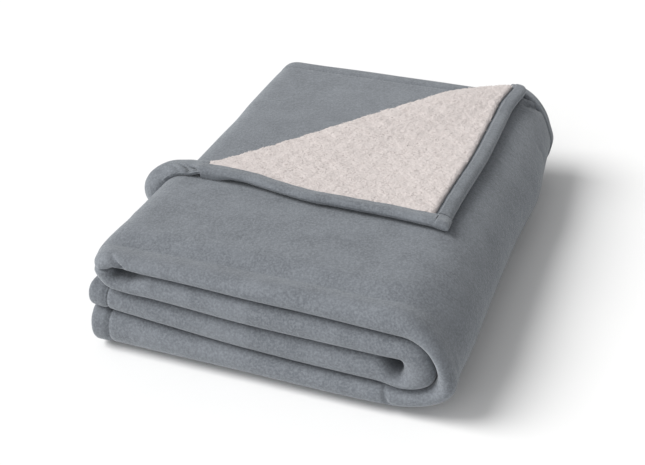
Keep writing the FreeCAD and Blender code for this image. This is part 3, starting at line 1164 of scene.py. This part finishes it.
# Height and thickness of a stitch at its four rings, as shares of the thread.
STITCH_ARCH = (-0.35, 0.3, 0.3, -0.35)
STITCH_THICK = (0.45, 1.0, 1.0, 0.45)


def stitch_faces():
    """Sides and two caps of one stitch."""
    ring = np.arange(SIDES)
    following = (ring + 1) % SIDES
    quad = np.stack([ring, following, following + SIDES, ring + SIDES], 1)
    cap = np.array([[0, 1, 2, 3], [0, 3, 4, 5]])
    last = len(STITCH_ARCH) - 1
    return np.concatenate([quad + SIDES * level for level in range(last)] + [cap, cap + SIDES * last])


def stitch_row(line, above):
    """Capsules along a line. The second line lies above the first and shows which way is out."""
    step = STITCH / 3
    length = arc_length(line)
    stations = np.arange(0, length[-1] - step, step)
    place, upper = [
        np.stack([np.interp(stations, length, curve[:, axis]) for axis in range(3)], 1)
        for curve in (line, above)
    ]
    out = unit(upper - place)
    side = np.cross(out, unit(np.gradient(place, axis=0)))
    around = np.linspace(0, 2 * math.pi, SIDES + 1)[:-1]
    arch = np.array(STITCH_ARCH) * THREAD
    thick = np.array(STITCH_THICK) * THREAD
    stride = int(round((STITCH + STITCH_GAP) / step))
    faces = stitch_faces()
    parts = []
    for first in range(0, len(place) - 4, stride):
        index = np.arange(first, first + 4)
        centre = place[index] + out[index] * arch[:, None]
        rings = (
            centre[:, None]
            + side[index][:, None] * (np.cos(around) * thick[:, None])[..., None]
            + out[index][:, None] * (np.sin(around) * thick[:, None] * 0.8)[..., None]
        )
        parts.append((rings.reshape(-1, 3), faces))
    return joined(parts)


def stack_seam(rows, cols):
    """A seam line on the stack's face and a line above it."""
    rows, cols = np.atleast_1d(rows), np.atleast_1d(cols)
    half = half_cloth[np.ix_(rows, cols)]
    return [stack_grid(rows, cols, half + above).reshape(-1, 3) for above in (0.05, 1.0)]


def nearest(values, target):
    """Index of the value closest to the target."""
    return int(np.argmin(np.abs(values - target)))


def corner_seam(along, reach):
    """Points of a seam on the corner and points above them."""
    return [corner_grid(along, reach, above) for above in (1.0, 2.0)]


seam_a = nearest(hem_a, HEM)
seam_b = nearest(hem_b, HEM)
long_thread = add_piece(
    "long_thread",
    [stitch_row(*stack_seam(body_rows, seam_a)), stitch_row(*stack_seam(body_rows, seam_b))],
    thread,
)
lower_row = nearest(np.where(last_run, end_reach, 999), HEM)
upper_row = nearest(np.where(first_run, end_reach, 999), HEM)
lower_thread = add_piece("lower_thread", [stitch_row(*stack_seam(lower_row, all_cols))], thread)
upper_thread = add_piece("upper_thread", [stitch_row(*stack_seam(upper_row, all_cols))], thread)
long_along = np.linspace(HEM_END + 12, INNER_X, 160)
long_reach = np.stack([np.full(160, HEM - 1.2), np.full(160, HEM)], 1)
base, high = corner_seam(long_along, long_reach)
corner_long_thread = add_piece("corner_long_thread", [stitch_row(base[:, 0], high[:, 0])], thread)
short_along = np.linspace(INNER_X - 0.4, INNER_X + 1.6, 3)
base, high = corner_seam(short_along, reaches(short_along, HEM, 120, 60, 6))
corner_short_thread = add_piece("corner_short_thread", [stitch_row(base[1], high[1])], thread)

# %% [markdown]
# ## Ties to the frame
# Each piece rides on the body that moves it and takes the place of its plain solid. The stack, the
# top ply and the drape all stay with the stack.

# %% Pieces of the stack and the top ply
stack_pieces = (
    (stack_face, "face_fleece", "fleece"),
    (stack_lining, "sherpa_lining", "sherpa"),
    (lower_end, "lower_end_hem", "hem_fleece"),
    (upper_end, "upper_end_hem", "hem_fleece"),
    (long_edge, "long_hem", "hem_fleece"),
    (ply_face, "top_ply_fleece", "fleece"),
    (ply_lining, "top_ply_lining", "sherpa"),
    (ply_end, "top_ply_end_hem", "hem_fleece"),
    (ply_back_edge, "top_ply_back_hem", "hem_fleece"),
    (drape, "draped_edge", "hem_fleece"),
    (long_thread, "long_hem_stitching", "thread"),
    (lower_thread, "lower_end_stitching", "thread"),
    (upper_thread, "upper_end_stitching", "thread"),
)
for piece, node, slot_name in stack_pieces:
    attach(piece, "stack")
    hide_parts(node)
print("pieces that stay", len(stack_pieces))

# %% [markdown]
# ### The corner over its fold
# Each piece of the corner is baked where it lies and takes the place of its plain solid.

# %% Pieces of the turned corner
toward_front = Vector((-fold_axis[1], fold_axis[0], 0))
if toward_front.y > 0:
    toward_front.negate()
corner_pieces = (
    (corner_pile, "corner_lining", "sherpa"),
    (corner_face, "corner_fleece", "fleece"),
    (corner_long, "corner_long_hem", "hem_fleece"),
    (corner_short, "corner_short_hem", "hem_fleece"),
    (corner_square, "corner_tuck", "hem_fleece"),
    (corner_curls, "corner_lining", "sherpa"),
    (corner_long_thread, "corner_long_stitching", "thread"),
    (corner_short_thread, "corner_short_stitching", "thread"),
)
for piece, node, slot_name in corner_pieces:
    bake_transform(piece)
    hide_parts(node)
print("pieces that turn", len(corner_pieces))

# %% [markdown]
# ### Sheets
# The top ply and the corner are cut off by the diagonal, so only part of their rectangles is cloth.

# %% [markdown]
# ## Floor
# A plain pale floor shows the throw's weight by its contact shadow and takes nothing from it.

# %% Floor
FLOOR_HALF = 6.0
FLOOR_CORNERS = [(x * FLOOR_HALF, y * FLOOR_HALF, 0) for x, y in ((-1, -1), (1, -1), (1, 1), (-1, 1))]
floor_mesh = bpy.data.meshes.new("floor")
floor_mesh.from_pydata(FLOOR_CORNERS, [], [(0, 1, 2, 3)])
floor = bpy.data.objects.new("floor", floor_mesh)
bpy.context.scene.collection.objects.link(floor)


def make_floor_material():
    material, tree, shader, place = new_material("pale_floor")
    speckle = noise_node(tree, place, 3.0, 2.0)
    tone = mix_colour(tree, speckle, (0.86, 0.865, 0.87, 1), (0.9, 0.9, 0.9, 1))
    feed(tree, shader.inputs["Base Color"], tone)
    shader.inputs["Roughness"].default_value = 0.9
    shader.inputs["Specular IOR Level"].default_value = 0.1
    return material


floor_mesh.materials.append(make_floor_material())
print("floor", 2 * FLOOR_HALF, "m wide")

# %% [markdown]
# ## Light
# One wide soft light from the upper left models the folds and leaves the right wall in shade. A weaker
# one from the front opens the layers, and a pale world fills what neither reaches. Sharper lights
# would make the nap look like plastic.

# %% Light
KEY_POWER = 3.05
FRONT_POWER = 0.95
WORLD_POWER = 0.38


def soft_sun(name, place, strength, spread, colour):
    """An even light from one side. A wide spread gives soft shadows."""
    light = bpy.data.lights.new(name, "SUN")
    light.energy = strength
    light.angle = math.radians(spread)
    light.color = colour
    lamp = bpy.data.objects.new(name, light)
    lamp.rotation_euler = (-Vector(place)).to_track_quat("-Z", "Y").to_euler()
    bpy.context.scene.collection.objects.link(lamp)
    return lamp


soft_sun("key_light", (-1.3, -0.6, 1.5), KEY_POWER, 34, (1.0, 0.995, 0.985))
soft_sun("front_light", (-0.6, -1.5, 0.6), FRONT_POWER, 50, (1.0, 1.0, 1.0))
world = bpy.data.worlds.new("studio")
world.use_nodes = True
background = world.node_tree.nodes["Background"]
background.inputs["Color"].default_value = (1.0, 1.0, 1.0, 1.0)
background.inputs["Strength"].default_value = WORLD_POWER
bpy.context.scene.world = world
bpy.context.scene.view_settings.view_transform = "Standard"
print("lights", KEY_POWER, FRONT_POWER, "world", WORLD_POWER)

# %% [markdown]
# ## Camera
# The camera stands to the right of the front and looks down on the stack, about a metre away. It is
# placed by its angles and its distance from a point in the throw, which are easy to think about.

# %% Camera
CAMERA_AZIMUTH = 19.6
CAMERA_ELEVATION = 31.4
CAMERA_DISTANCE = 1.0645
CAMERA_LENS = 62.2
aim = Vector((-0.0141, -0.0365, 0.0395))
azimuth, elevation = math.radians(CAMERA_AZIMUTH), math.radians(CAMERA_ELEVATION)
away = Vector((
    math.sin(azimuth) * math.cos(elevation),
    -math.cos(azimuth) * math.cos(elevation),
    math.sin(elevation),
))
camera_data = bpy.data.cameras.new("camera")
camera_data.lens = CAMERA_LENS
camera_data.sensor_width = 36
camera = bpy.data.objects.new("camera", camera_data)
camera.location = aim + away * CAMERA_DISTANCE
camera.rotation_euler = (-away).to_track_quat("-Z", "Y").to_euler()
bpy.context.scene.collection.objects.link(camera)
bpy.context.scene.camera = camera
print("camera", tuple(round(value, 3) for value in camera.location))
